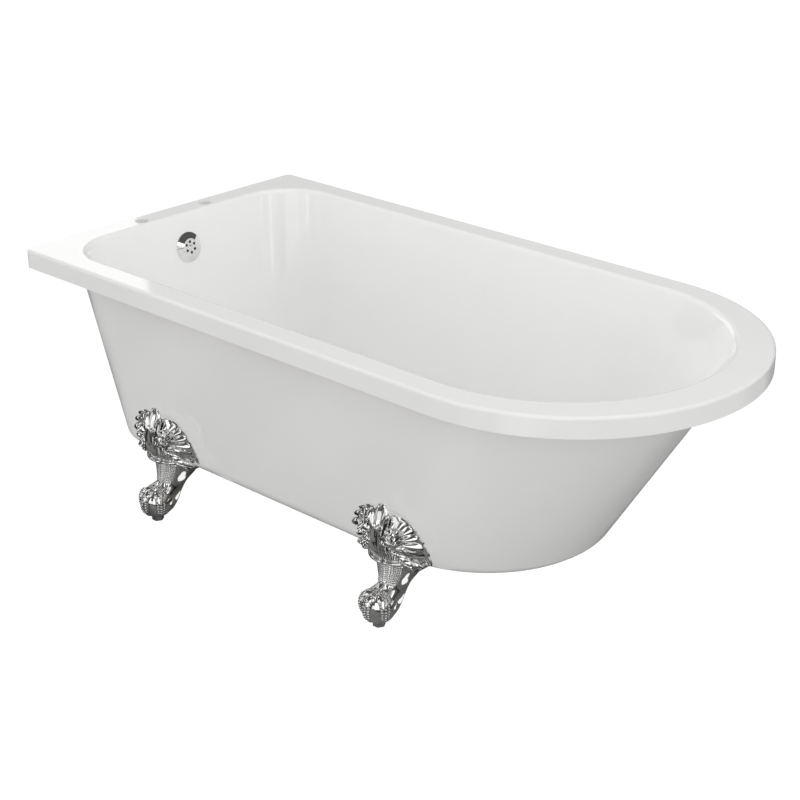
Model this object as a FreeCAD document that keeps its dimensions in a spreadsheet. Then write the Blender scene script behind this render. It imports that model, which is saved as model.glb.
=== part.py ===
"""Back-to-wall bath on claw feet: shells, feet, overflow and click waste as separate pieces.

Frame: millimetres, origin on the floor under the middle of the rim, +X towards the round end,
-X towards the tap end, +Y towards the wall, +Z up.
"""
import FreeCAD
import Part
import Sketcher
import math
import os
import re
from FreeCAD import Placement, Rotation, Vector

# Driving sizes: alias, millimetres, meaning
SIZES = (
    ("bath_length", 1500, "overall length over the rim"),
    ("bath_width", 750, "overall width over the rim"),
    ("rim_height", 545, "rim top above the floor"),
    ("rim_depth", 39, "height of the turned-down rim band"),
    ("rim_corner", 16, "plan radius of the square tap-end corners"),
    ("rim_round", 6, "edge radius on the outside of the rim"),
    ("deck_tap", 60, "deck width at the tap end"),
    ("deck_side", 57.5, "deck width along the sides"),
    ("deck_end", 72, "deck width at the round end"),
    ("deck_round", 12, "edge radius on the inside of the rim"),
    ("shell_wall", 6, "wall of the inner shell"),
    ("basin_corner", 115, "plan radius of the basin's tap-end corners at the rim"),
    ("basin_tap_lean", 80, "how far the tap wall leans in, rim to bath floor"),
    ("basin_side_lean", 79, "how far each side wall leans in"),
    ("basin_end_lean", 263, "how far the backrest leans in"),
    ("basin_corner_lean", 10, "how much the basin corner radius drops by the bath floor"),
    ("basin_round", 55, "radius between the basin walls and its floor"),
    ("skirt_wall", 5, "wall of the outer skirt"),
    ("skirt_tap", 11, "skirt inset from the rim at the tap end, under the deck"),
    ("skirt_side", 42, "skirt inset from the rim at the sides, under the deck"),
    ("skirt_end", 49, "skirt inset from the rim at the round end, under the deck"),
    ("skirt_corner", 159, "plan radius of the skirt's tap-end corners, under the deck"),
    ("base_height", 111, "underside of the skirt above the floor"),
    ("base_tap", 88, "skirt inset at its base, tap end"),
    ("base_side", 121.5, "skirt inset at its base, sides"),
    ("base_end", 318, "skirt inset at its base, round end"),
    ("base_corner", 96, "plan radius of the skirt's tap-end corners at its base"),
    ("base_round", 33, "edge radius around the base"),
    ("lip_width", 85, "inward lip of the skirt's base, sides and round end"),
    ("lip_tap", 30, "inward lip of the skirt's base at the tap end"),
    ("board_thick", 18, "base board"),
    ("board_start", 262, "base board's square end from the tap-end rim"),
    ("board_gap", 2.5, "base board's gap to the rounded skirt"),
    ("board_corner", 12, "plan radius of the base board's square corners"),
    ("batten_wide", 28, "rim batten width"),
    ("batten_tall", 22, "rim batten height"),
    ("batten_long", 860, "rim batten length"),
    ("tap_pitch", 180, "between the tap holes"),
    ("tap_inset", 31, "tap holes from the tap-end rim"),
    ("tap_hole", 30, "tap hole diameter"),
    ("foot_first", 300, "tap-end feet from the tap-end rim"),
    ("foot_last", 555, "round-end feet from the round-end rim"),
    ("foot_gap", 0.2, "casting clearance to the skirt's side"),
    ("ball_radius", 33, "ball under the claw"),
    ("ball_out", 57, "ball centre outside the base edge"),
    ("ball_flat", 10, "flat under the ball above the floor"),
    ("heel_in", 7, "leg centre at the ball, inward of the ball's centre"),
    ("heel_wide", 28, "half width of the leg at the ball"),
    ("heel_deep", 28, "half depth of the leg at the ball"),
    ("instep_drop", 46, "instep below the base edge"),
    ("instep_out", 27, "instep centre outside the base edge"),
    ("instep_wide", 25, "half width of the instep"),
    ("instep_deep", 28, "half depth of the instep"),
    ("ankle_drop", 25, "narrowest part of the leg below the base edge"),
    ("ankle_out", 9, "ankle centre outside the base edge"),
    ("ankle_wide", 23, "half width of the ankle"),
    ("ankle_deep", 24, "half depth of the ankle"),
    ("knee_out", 3, "knee centre outside the base edge, level with the tongue"),
    ("knee_wide", 29, "half width of the knee"),
    ("knee_deep", 31, "half depth of the knee"),
    ("collar_rise", 18, "middle of the collar above the base edge"),
    ("collar_tall", 18, "collar height"),
    ("collar_wide", 43, "half width of the collar"),
    ("collar_deep", 44, "half depth of the collar"),
    ("collar_round", 6, "how far the collar draws in at its top and bottom"),
    ("crown_rise", 52, "widest part of the leaf's heart above the base edge"),
    ("crown_wide", 41, "half width of the leaf's heart"),
    ("crown_deep", 21, "half depth of the leaf's heart"),
    ("peak_rise", 96, "top of the leaf's heart above the base edge"),
    ("peak_wide", 24, "half width of the heart's top"),
    ("peak_deep", 13, "half depth of the heart's top"),
    ("toe_radius", 9, "half thickness of a toe"),
    ("wing_width", 172, "leaf spread over the skirt's side"),
    ("wing_tall", 134, "leaf height above the base edge"),
    ("wing_thick", 9, "leaf plate thickness"),
    ("leaf_root", 34, "where the leaf's ribs start, above the base edge"),
    ("rib_radius", 10, "half thickness of a leaf rib at its root"),
    ("rib_tip", 3, "half thickness of a leaf rib at its tip"),
    ("rib_flare", 17, "how far a rib's tip stands out from the skirt"),
    ("tongue_thick", 8, "fixing tongue under the base"),
    ("tongue_wide", 76, "fixing tongue width"),
    ("tongue_reach", 76, "fixing tongue inward of the base edge"),
    ("bolt_inward", 60, "foot bolts inward of the base edge"),
    ("bolt_pitch", 46, "between a foot's two bolts"),
    ("bolt_size", 8, "foot bolt thread"),
    ("bolt_head", 5.5, "foot bolt head height"),
    ("bolt_across", 13, "foot bolt head across flats"),
    ("washer_thick", 1.6, "foot washer"),
    ("washer_size", 20, "foot washer diameter"),
    ("insert_size", 12, "threaded insert diameter"),
    ("insert_short", 1.6, "threaded insert's top below the board's top"),
    ("bolt_short", 3.2, "foot bolt's end below the board's top"),
    ("thread_play", 0.1, "radial clearance round a thread"),
    ("hole_play", 0.5, "radial clearance round a bolt"),
    ("level_size", 12, "levelling bolt thread"),
    ("level_long", 36, "levelling bolt shank in the ball"),
    ("level_across", 22, "levelling bolt head across flats"),
    ("level_gap", 0.3, "levelling bolt head to the ball when screwed in"),
    ("level_short", 3.2, "bore left above the levelling bolt"),
    ("flow_drop", 72, "overflow centre below the rim"),
    ("flow_face", 33, "overflow face radius"),
    ("flow_hub", 19, "overflow hub radius"),
    ("flow_rise", 8, "overflow hub above the wall"),
    ("flow_skin", 2, "overflow face metal"),
    ("flow_hole", 3.2, "overflow hub hole radius"),
    ("flow_ring", 12, "overflow hub hole ring radius"),
    ("flow_cut", 26, "overflow hole radius in the wall"),
    ("flow_flange", 31, "overflow elbow flange radius"),
    ("flow_depth", 34, "overflow elbow depth behind the gasket"),
    ("flow_seat", 0.2, "overflow gasket to the back of the wall"),
    ("screw_radius", 2.5, "overflow screw thread radius"),
    ("screw_head", 5, "overflow screw head radius"),
    ("screw_dome", 2.5, "overflow screw head height"),
    ("screw_round", 1.5, "edge radius of the overflow screw head"),
    ("screw_reach", 14, "overflow screw length past the gasket"),
    ("elbow_wall", 3, "overflow elbow wall"),
    ("elbow_boss", 6.2, "overflow elbow's screw boss radius"),
    ("boss_short", 6, "overflow elbow's screw boss below its flange"),
    ("boss_floor", 6, "overflow elbow's floor under the screw"),
    ("gasket_thick", 3, "gaskets"),
    ("pipe_radius", 13, "overflow pipe outside radius"),
    ("pipe_wall", 2, "overflow pipe wall"),
    ("pipe_socket", 14, "overflow pipe push-in depth"),
    ("pipe_bend", 32, "overflow pipe bend radius on its centre line"),
    ("pipe_gap", 0.3, "overflow pipe's ends to the bottoms of their sockets"),
    ("pipe_knee", 44, "overflow pipe's upper corner above the bath floor"),
    ("pipe_inward", 56, "overflow pipe's lower corner inward of the base edge"),
    ("socket_wall", 3, "socket wall round the pipe"),
    ("nut_long", 14, "pipe nut length"),
    ("nut_over", 8, "pipe nut length over its socket"),
    ("nut_wall", 3, "pipe nut wall round its socket"),
    ("waste_inset", 225, "waste centre from the tap-end rim"),
    ("waste_cut", 26, "waste hole radius in the floor"),
    ("waste_face", 35, "waste flange radius"),
    ("waste_lip", 3, "waste flange thickness"),
    ("waste_tube", 23, "waste flange tube radius"),
    ("waste_bore", 20, "waste bore radius"),
    ("waste_tube_long", 30, "waste flange tube below its lip"),
    ("waste_spider", 4, "thickness of the spider across the bore"),
    ("waste_edge", 1.2, "waste flange's edge below its bevel"),
    ("waste_barrel", 30, "waste body radius"),
    ("waste_collar", 36, "waste body's collar radius"),
    ("waste_collar_thick", 3, "waste body's collar thickness"),
    ("waste_inlet", 92, "overflow inlet height above the floor"),
    ("waste_shoulder", 70, "waste body's shoulder above the floor"),
    ("tail_radius", 23.9, "outlet tail thread radius"),
    ("tail_long", 30, "outlet tail length"),
    ("cap_radius", 31, "plug cap radius"),
    ("cap_thick", 6, "plug cap thickness"),
    ("cap_round", 4, "edge radius of the plug cap"),
    ("plug_travel", 8, "plug travel"),
    ("plug_gap", 0.3, "plug seal to flange when shut"),
    ("seal_thick", 2.5, "plug seal"),
    ("seal_radius", 27, "plug seal radius"),
    ("seal_bore", 11.8, "plug seal's hole radius"),
    ("stem_radius", 5.8, "plug stem radius"),
    ("stem_play", 0.2, "plug stem clearance in the cartridge"),
    ("stem_hold", 12.8, "plug stem's length inside the cartridge when raised"),
    ("cartridge_radius", 8, "cartridge radius"),
    ("cartridge_long", 38, "cartridge length"),
    ("cartridge_collar", 3, "cartridge collar width and thickness"),
    ("cartridge_drop", 14, "cartridge length below the spider"),
    ("cartridge_floor", 2, "cartridge floor thickness"),
    ("spring_wire", 1.2, "plug spring wire"),
    ("spring_turns", 5, "plug spring turns"),
)

doc = FreeCAD.newDocument("bath")
sheet = doc.addObject("Spreadsheet::Sheet", "size")
for row, (alias, number, meaning) in enumerate(SIZES, start=1):
    sheet.set("A%d" % row, meaning)
    sheet.set("B%d" % row, str(number))
    sheet.setAlias("B%d" % row, alias)
doc.recompute()
ALIAS = re.compile(r"\b(" + "|".join(alias for alias, number, meaning in SIZES) + r")\b")
nodes = []


def mm(alias):
    """Current value of a driving size."""
    return float(sheet.get(alias))


def bind(item, path, text):
    """Bind one property to a formula written with plain alias names."""
    item.setExpression(path, ALIAS.sub(r"size.\1", text))


# Heights and sections shared by several pieces, as formulas
DECK_UNDER = "(rim_height - shell_wall)"
LIP_TOP = "(base_height + skirt_wall)"
FLOOR_UNDER = "(base_height + skirt_wall + board_thick)"
FLOOR = "(base_height + skirt_wall + board_thick + shell_wall)"
BASE_HALF = "(bath_width / 2 - base_side)"
WASTE_X = "(waste_inset - bath_length / 2)"
TAP_SLOPE = "(basin_tap_lean / (rim_height - %s))" % FLOOR


def place(item, x="0", y="0", z="0"):
    """Bind an object's position to formulas."""
    bind(item, "Placement.Base.x", x)
    bind(item, "Placement.Base.y", y)
    bind(item, "Placement.Base.z", z)


def place_on_tap_wall(item, path="Placement"):
    """Put an object's own frame on the tap wall: Z out of the wall, X down the wall."""
    setattr(item, path, Placement(Vector(), Rotation(Vector(0, 1, 0), 80)))
    bind(item, path + ".Base.x", "deck_tap - bath_length / 2 + flow_drop * " + TAP_SLOPE)
    bind(item, path + ".Base.z", "rim_height - flow_drop")
    bind(item, path + ".Rotation.Angle", "90 deg - atan(%s)" % TAP_SLOPE)


def new_body(label):
    """A body that is exported under its label."""
    body = doc.addObject("PartDesign::Body", label)
    body.Label = label
    nodes.append(body)
    return body


def sketch_on(body, name, role, level="0"):
    """A sketch on one of the body's origin planes, lifted along the plane's normal."""
    sketch = body.newObject("Sketcher::SketchObject", name)
    plane = [item for item in body.Origin.OriginFeatures if item.Role == role][0]
    sketch.AttachmentSupport = [(plane, "")]
    sketch.MapMode = "FlatFace"
    if level != "0":
        bind(sketch, "AttachmentOffset.Base.z", level)
    return sketch


def dimension(sketch, kind, *ends, drawn, formula):
    """A named dimension, added at its drawn value and then bound to a formula."""
    index = sketch.addConstraint(Sketcher.Constraint(kind, *ends, drawn))
    name = "dim%d" % index
    sketch.renameConstraint(index, name)
    bind(sketch, "Constraints." + name, formula)


def add_outline(sketch, tap, half, end, corner):
    """A plan outline with a square tap end and a half-round other end."""
    width, length = mm("bath_width"), mm("bath_length")
    drawn_half, drawn_tap, drawn_corner = 0.4 * width, 0.45 * length, 0.1 * width
    centre_x = 0.2 * length
    left, side = drawn_corner - drawn_tap, drawn_half - drawn_corner
    up = Vector(0, 0, 1)

    def line(x1, y1, x2, y2):
        return sketch.addGeometry(Part.LineSegment(Vector(x1, y1, 0), Vector(x2, y2, 0)))

    def arc(x, y, radius, start, stop):
        circle = Part.Circle(Vector(x, y, 0), up, radius)
        return sketch.addGeometry(Part.ArcOfCircle(circle, math.radians(start), math.radians(stop)))

    tap_line = line(-drawn_tap, side, -drawn_tap, -side)
    front_corner = arc(left, -side, drawn_corner, 180, 270)
    front_line = line(left, -drawn_half, centre_x, -drawn_half)
    round_end = arc(centre_x, 0, drawn_half, -90, 90)
    back_line = line(centre_x, drawn_half, left, drawn_half)
    back_corner = arc(left, side, drawn_corner, 90, 180)
    loop = [tap_line, front_corner, front_line, round_end, back_line, back_corner]
    for first, second in zip(loop, loop[1:] + loop[:1]):
        sketch.addConstraint(Sketcher.Constraint("Tangent", first, 2, second, 1))
    sketch.addConstraint(Sketcher.Constraint("Vertical", tap_line))
    sketch.addConstraint(Sketcher.Constraint("Horizontal", front_line))
    sketch.addConstraint(Sketcher.Constraint("Horizontal", back_line))
    sketch.addConstraint(Sketcher.Constraint("PointOnObject", round_end, 3, -1))
    sketch.addConstraint(Sketcher.Constraint("Equal", front_corner, back_corner))
    dimension(sketch, "DistanceX", tap_line, 1, -1, 1, drawn=drawn_tap, formula=tap)
    dimension(sketch, "Radius", front_corner, drawn=drawn_corner, formula=corner)
    dimension(sketch, "Radius", round_end, drawn=drawn_half, formula=half)
    dimension(sketch, "DistanceX", -1, 1, round_end, 3, drawn=centre_x,
              formula="(%s) - (%s)" % (end, half))


def plan(tap, side, end, grow="0"):
    """Outline formulas from insets to the overall size; grow widens the outline."""
    return ("bath_length / 2 - (%s) + %s" % (tap, grow),
            "bath_width / 2 - (%s) + %s" % (side, grow),
            "bath_length / 2 - (%s) + %s" % (end, grow))


def outline(body, name, level, sides, corner):
    """One outline sketch at a height."""
    sketch = sketch_on(body, name, "XY_Plane", level)
    add_outline(sketch, sides[0], sides[1], sides[2], corner)
    return sketch


def add_circle(sketch, radius, x="0", y="0"):
    """A circle; x and y are formulas, with a leading minus for the negative side."""
    drawn = [-10.0 if formula.startswith("-") else 10.0 for formula in (x, y)]
    circle = sketch.addGeometry(Part.Circle(Vector(drawn[0], drawn[1], 0), Vector(0, 0, 1), 5))
    dimension(sketch, "Radius", circle, drawn=5.0, formula=radius)
    for kind, axis, formula in (("DistanceX", -2, x), ("DistanceY", -1, y)):
        if formula == "0":
            sketch.addConstraint(Sketcher.Constraint("PointOnObject", circle, 3, axis))
        elif formula.startswith("-"):
            dimension(sketch, kind, circle, 3, -1, 1, drawn=10.0, formula=formula[1:])
        else:
            dimension(sketch, kind, -1, 1, circle, 3, drawn=10.0, formula=formula)


def loft(body, kind, name, first, second):
    """A straight-walled loft between two outlines."""
    feature = body.newObject("PartDesign::" + kind, name)
    feature.Profile = first
    feature.Sections = [second]
    feature.Ruled = True
    doc.recompute()
    return feature


def pad(body, name, sketch, length):
    """A pad bound to a length formula."""
    feature = body.newObject("PartDesign::Pad", name)
    feature.Profile = sketch
    bind(feature, "Length", length)
    doc.recompute()
    return feature


def pocket(body, name, sketch, length):
    """A pocket against the sketch's normal."""
    feature = body.newObject("PartDesign::Pocket", name)
    feature.Profile = sketch
    bind(feature, "Length", length)
    doc.recompute()
    return feature


def fillet(body, name, radius, chosen):
    """Round the edges of the body's tip that the test accepts."""
    base = body.Tip
    edges = enumerate(base.Shape.Edges, start=1)
    names = ["Edge%d" % number for number, edge in edges if chosen(edge)]
    feature = body.newObject("PartDesign::Fillet", name)
    feature.Base = (base, names)
    bind(feature, "Radius", radius)
    doc.recompute()
    return feature


def level_edges(height, shortest=0.0, longest=1e9):
    """Test for edges that lie in one level; the limits are on the edge's reach from the axis."""
    def chosen(edge):
        box = edge.BoundBox
        reach = max(abs(box.YMin), abs(box.YMax))
        level = abs(box.ZMin - height) < 0.01 and abs(box.ZMax - height) < 0.01
        return level and shortest <= reach <= longest
    return chosen


def turned(label, profile):
    """A turned piece from (radius, height) formulas round its own Z axis, all at or above zero."""
    body = new_body(label)
    sketch = sketch_on(body, label + "_profile", "XZ_Plane")
    add_profile(sketch, profile)
    feature = body.newObject("PartDesign::Revolution", label + "_turn")
    feature.Profile = sketch
    feature.ReferenceAxis = (sketch, ["V_Axis"])
    feature.Angle = 360
    doc.recompute()
    return body


def add_profile(sketch, profile):
    """A closed straight-sided profile; corners are formulas, a leading minus means the negative side."""
    count = len(profile)
    drawn = []
    for step, corner in enumerate(profile):
        turn = 2 * math.pi * step / count
        spot = (40 + 20 * math.cos(turn), 40 + 20 * math.sin(turn))
        drawn.append([-part if formula.startswith("-") else part
                      for part, formula in zip(spot, corner)])
    points = [Vector(x, y, 0) for x, y in drawn]
    lines = [sketch.addGeometry(Part.LineSegment(first, second))
             for first, second in zip(points, points[1:] + points[:1])]
    for first, second in zip(lines, lines[1:] + lines[:1]):
        sketch.addConstraint(Sketcher.Constraint("Coincident", first, 2, second, 1))
    for line, corner, spot in zip(lines, profile, drawn):
        for kind, axis, formula, start in zip(("DistanceX", "DistanceY"), (-2, -1), corner, spot):
            if formula == "0":
                sketch.addConstraint(Sketcher.Constraint("PointOnObject", line, 1, axis))
            elif formula.startswith("-"):
                dimension(sketch, kind, line, 1, -1, 1, drawn=-start, formula=formula[1:])
            else:
                dimension(sketch, kind, -1, 1, line, 1, drawn=start, formula=formula)


def ring(label, inner, outer, height):
    """A plain ring."""
    return turned(label, [(inner, "0"), (outer, "0"), (outer, height), (inner, height)])


def shape_node(label, shape):
    """A piece made with shape functions from the sheet's sizes."""
    item = doc.addObject("Part::Feature", label)
    item.Label = label
    item.Shape = shape
    nodes.append(item)
    return item


# Inner shell: basin, flat deck and turned-down rim band in one moulding
shell = new_body("inner_shell")
rim_plan = plan("0", "0", "0")
rim_inside = plan("shell_wall", "shell_wall", "shell_wall")
basin_top = ("deck_tap", "deck_side", "deck_end")
basin_low = ("deck_tap + basin_tap_lean", "deck_side + basin_side_lean",
             "deck_end + basin_end_lean")
low_corner = "basin_corner - basin_corner_lean"
outer_top = outline(shell, "basin_outside_top", "rim_height", plan(*basin_top, grow="shell_wall"),
                    "basin_corner + shell_wall")
outer_low = outline(shell, "basin_outside_low", FLOOR_UNDER, plan(*basin_low, grow="shell_wall"),
                    low_corner + " + shell_wall")
loft(shell, "AdditiveLoft", "basin_outside", outer_top, outer_low)
pad(shell, "deck", outline(shell, "deck_plan", DECK_UNDER, rim_plan, "rim_corner"), "shell_wall")
band = outline(shell, "band_plan", "rim_height - rim_depth", rim_plan, "rim_corner")
add_outline(band, rim_inside[0], rim_inside[1], rim_inside[2], "rim_corner - shell_wall")
pad(shell, "band", band, "rim_depth")
inner_top = outline(shell, "basin_inside_top", "rim_height", plan(*basin_top), "basin_corner")
inner_low = outline(shell, "basin_inside_low", FLOOR, plan(*basin_low), low_corner)
loft(shell, "SubtractiveLoft", "basin_inside", inner_top, inner_low)
lip_top = mm("base_height") + mm("skirt_wall")
floor_under = lip_top + mm("board_thick")
basin_floor = floor_under + mm("shell_wall")
fillet(shell, "basin_inside_round", "basin_round", level_edges(basin_floor))
fillet(shell, "basin_outside_round", "basin_round + shell_wall", level_edges(floor_under))
inner_reach = mm("bath_width") / 2 - mm("deck_side") + 1
fillet(shell, "deck_inner_edge", "deck_round", level_edges(mm("rim_height"), longest=inner_reach))
fillet(shell, "deck_outer_edge", "rim_round", level_edges(mm("rim_height"), shortest=inner_reach))
tap_holes = sketch_on(shell, "tap_holes", "XY_Plane", "rim_height")
for side in ("tap_pitch / 2", "-tap_pitch / 2"):
    add_circle(tap_holes, "tap_hole / 2", "-(bath_length / 2 - tap_inset)", side)
pocket(shell, "tap_hole_cut", tap_holes, "2 * shell_wall")
waste_hole = sketch_on(shell, "waste_hole", "XY_Plane", FLOOR)
add_circle(waste_hole, "waste_cut", "-(bath_length / 2 - waste_inset)")
pocket(shell, "waste_hole_cut", waste_hole, "2 * shell_wall")
flow_hole = sketch_on(shell, "overflow_hole", "XY_Plane")
place_on_tap_wall(flow_hole, "AttachmentOffset")
add_circle(flow_hole, "flow_cut")
pocket(shell, "overflow_hole_cut", flow_hole, "2 * shell_wall")

# Outer skirt: tapered skin from the deck's underside to an inward lip round the open base
skirt = new_body("outer_skirt")
skirt_top = ("skirt_tap", "skirt_side", "skirt_end")
skirt_low = ("base_tap", "base_side", "base_end")
wide = outline(skirt, "skirt_outside_top", DECK_UNDER, plan(*skirt_top), "skirt_corner")
narrow = outline(skirt, "skirt_outside_low", "base_height", plan(*skirt_low), "base_corner")
loft(skirt, "AdditiveLoft", "skirt_outside", wide, narrow)
wide = outline(skirt, "skirt_inside_top", DECK_UNDER, plan(*skirt_top, grow="-skirt_wall"),
               "skirt_corner - skirt_wall")
narrow = outline(skirt, "skirt_inside_low", LIP_TOP, plan(*skirt_low, grow="-skirt_wall"),
                 "base_corner - skirt_wall")
loft(skirt, "SubtractiveLoft", "skirt_inside", wide, narrow)
fillet(skirt, "skirt_inside_round", "base_round - skirt_wall", level_edges(lip_top))
fillet(skirt, "skirt_outside_round", "base_round", level_edges(mm("base_height")))
base_hole = outline(skirt, "base_opening", LIP_TOP,
                    plan("base_tap + lip_tap", "base_side + lip_width", "base_end + lip_width"),
                    "base_corner - lip_tap")
pocket(skirt, "base_opening_cut", base_hole, "2 * skirt_wall")

# Base board: bonded between the skirt's lip and the basin floor
board = new_body("base_board")
board_edge = "base_round + board_gap"
board_plan = outline(board, "board_plan", LIP_TOP,
                     plan("board_start", "base_side + " + board_edge, "base_end + " + board_edge),
                     "board_corner")
pad(board, "board", board_plan, "board_thick")

# Feet: distance of each from the middle of the bath, towards which end and which side
TAP_FEET = "(bath_length / 2 - foot_first)"
ROUND_FEET = "(bath_length / 2 - foot_last)"
FEET = {"front_tap": (TAP_FEET, -1, -1), "back_tap": (TAP_FEET, -1, 1),
        "front_round": (ROUND_FEET, 1, -1), "back_round": (ROUND_FEET, 1, 1)}


def foot_bolt_holes(body, name, level, radius, depth):
    """Two holes over each foot."""
    sketch = sketch_on(body, name, "XY_Plane", level)
    signed = {-1: "-(%s)", 1: "(%s)"}
    for station, end, side in FEET.values():
        for half_pitch in ("- bolt_pitch / 2", "+ bolt_pitch / 2"):
            x = signed[end] % (station + half_pitch)
            y = signed[side] % (BASE_HALF + " - bolt_inward")
            add_circle(sketch, radius, x, y)
    pocket(body, name + "_cut", sketch, depth)


foot_bolt_holes(skirt, "lip_bolt_holes", LIP_TOP, "bolt_size / 2 + hole_play", "2 * skirt_wall")
foot_bolt_holes(board, "insert_holes", FLOOR_UNDER, "insert_size / 2 + thread_play", "board_thick")

# Rim battens under the straight sides of the deck
for side_name, sign in (("front", "-1"), ("back", "1")):
    batten = doc.addObject("Part::Box", "rim_batten_" + side_name)
    batten.Label = "rim_batten_" + side_name
    bind(batten, "Length", "batten_long")
    bind(batten, "Width", "batten_wide")
    bind(batten, "Height", "batten_tall")
    middle = "(bath_width / 2 - (skirt_side + shell_wall) / 2)"
    place(batten, "-batten_long / 2 - deck_end", "%s * %s - batten_wide / 2" % (sign, middle),
          DECK_UNDER + " - batten_tall")
    nodes.append(batten)


# Claw feet: one casting each, leaf plate on the skirt's side and tongue under its lip
LEAF_TIPS = ((-1.0, 0.17), (-0.88, 0.5), (-0.5, 0.84), (0.0, 1.0), (0.5, 0.84), (0.88, 0.5), (1.0, 0.17))
LEAF_DIP = 0.16
LEAF_BULGE = 0.1
TOE_SWINGS = (-66, -22, 22, 66)
TOE_TIP_ANGLE = -28
TOE_SWEEP = 105


def ellipse(height, out, half_wide, half_deep):
    """A level ellipse outside the base edge, in quarters that start at its +X side."""
    turn = 90 if half_deep > half_wide else 0
    curve = Part.Ellipse(Vector(0, 0, 0), max(half_wide, half_deep), min(half_wide, half_deep))
    starts = [math.radians(quarter * 90 - turn) for quarter in range(4)]
    wire = Part.Wire([Part.ArcOfEllipse(curve, start, start + math.pi / 2).toShape() for start in starts])
    wire.Placement = Placement(Vector(0, -out, height), Rotation(Vector(0, 0, 1), turn))
    return wire


def toe(centre, reach, thickness, swing):
    """A toe bent over the ball, swung sideways from straight out."""
    low = math.radians(TOE_TIP_ANGLE)
    ahead = Vector(math.sin(math.radians(swing)), -math.cos(math.radians(swing)), 0)
    up = Vector(0, 0, 1)
    tip = centre + ahead * (reach * math.cos(low)) + up * (reach * math.sin(low))
    along = up * math.cos(low) - ahead * math.sin(low)
    section = Part.Face(Part.Wire([Part.Circle(tip, along, thickness).toShape()]))
    bent = section.revolve(centre, ahead.cross(up), TOE_SWEEP)
    return bent.fuse(Part.makeSphere(thickness, tip))


def leaf_edge(start, stop, middle):
    """An arc that bulges away from a point by a share of its chord."""
    half_way = (start + stop) * 0.5
    chord = stop - start
    side = Vector(chord.z, 0, -chord.x)
    if side.dot(half_way - middle) < 0:
        side = -side
    return Part.Arc(start, half_way + side * LEAF_BULGE, stop).toShape()


def leaf_plate(half_wide, tall):
    """Scalloped leaf astride the XZ plane, base edge on the X axis, with a flared rib to each tip."""
    thick, root = mm("wing_thick"), Vector(0, 0, mm("leaf_root"))
    tips = [Vector(across * half_wide, 0, height * tall) for across, height in LEAF_TIPS]
    halfway = [(first + second) * 0.5 for first, second in zip(tips, tips[1:])]
    dips = [spot + (root - spot) * LEAF_DIP for spot in halfway]
    low = [Vector(tip.x - math.copysign(thick, tip.x), 0, 0) for tip in (tips[0], tips[-1])]
    edges = []
    for start, tip, stop in zip(low[:1] + dips, tips, dips + low[1:]):
        middle = (root + tip) * 0.5
        edges.append(leaf_edge(start, tip, middle))
        edges.append(leaf_edge(tip, stop, middle))
    edges.append(Part.LineSegment(low[1], low[0]).toShape())
    plate = Part.Face(Part.Wire(edges)).translated(Vector(0, thick, 0)).extrude(Vector(0, -2 * thick, 0))
    ribs = []
    for tip in tips:
        away = (tip - root).normalize()
        start = root + away * (2 * thick) + Vector(0, -thick / 2, 0)
        run = tip + Vector(0, -mm("rib_flare"), 0) - start
        rib = Part.makeCone(mm("rib_radius"), mm("rib_tip"), run.Length)
        rib.Placement = Placement(start, Rotation(Vector(0, 0, 1), run))
        ribs.append(rib)
    return plate.multiFuse(ribs)


def leg(ball):
    """Cabriole leg from the ball up to the heart of the leaf."""
    base = mm("base_height")
    return Part.makeLoft([
        ellipse(ball.z, mm("ball_out") - mm("heel_in"), mm("heel_wide"), mm("heel_deep")),
        ellipse(base - mm("instep_drop"), mm("instep_out"), mm("instep_wide"), mm("instep_deep")),
        ellipse(base - mm("ankle_drop"), mm("ankle_out"), mm("ankle_wide"), mm("ankle_deep")),
        ellipse(base - mm("tongue_thick"), mm("knee_out"), mm("knee_wide"), mm("knee_deep")),
        ellipse(base + mm("crown_rise"), SIDE_SLOPE * mm("crown_rise"), mm("crown_wide"), mm("crown_deep")),
        ellipse(base + mm("peak_rise"), SIDE_SLOPE * mm("peak_rise"), mm("peak_wide"), mm("peak_deep")),
    ], True, False)


def collar():
    """Rounded collar round the leg, above the base edge."""
    middle, half_tall = mm("base_height") + mm("collar_rise"), mm("collar_tall") / 2
    wide, deep, drawn_in = mm("collar_wide"), mm("collar_deep"), mm("collar_round")
    levels = ((-1, drawn_in), (-0.5, 0), (0.5, 0), (1, drawn_in))
    return Part.makeLoft([ellipse(middle + share * half_tall, 0, wide - inward, deep - inward)
                          for share, inward in levels], True, False)


def bath_wedge():
    """What the foot has to leave free: the skirt's side, with a clearance, and all inward of it."""
    base, gap, high, far = mm("base_height"), mm("foot_gap"), 2 * mm("wing_tall"), mm("bath_width")
    corners = [Vector(-far / 2, -gap, base), Vector(-far / 2, far, base),
               Vector(-far / 2, far, base + high), Vector(-far / 2, -gap - SIDE_SLOPE * high, base + high)]
    return Part.Face(Part.makePolygon(corners + corners[:1])).extrude(Vector(far, 0, 0))


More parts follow.
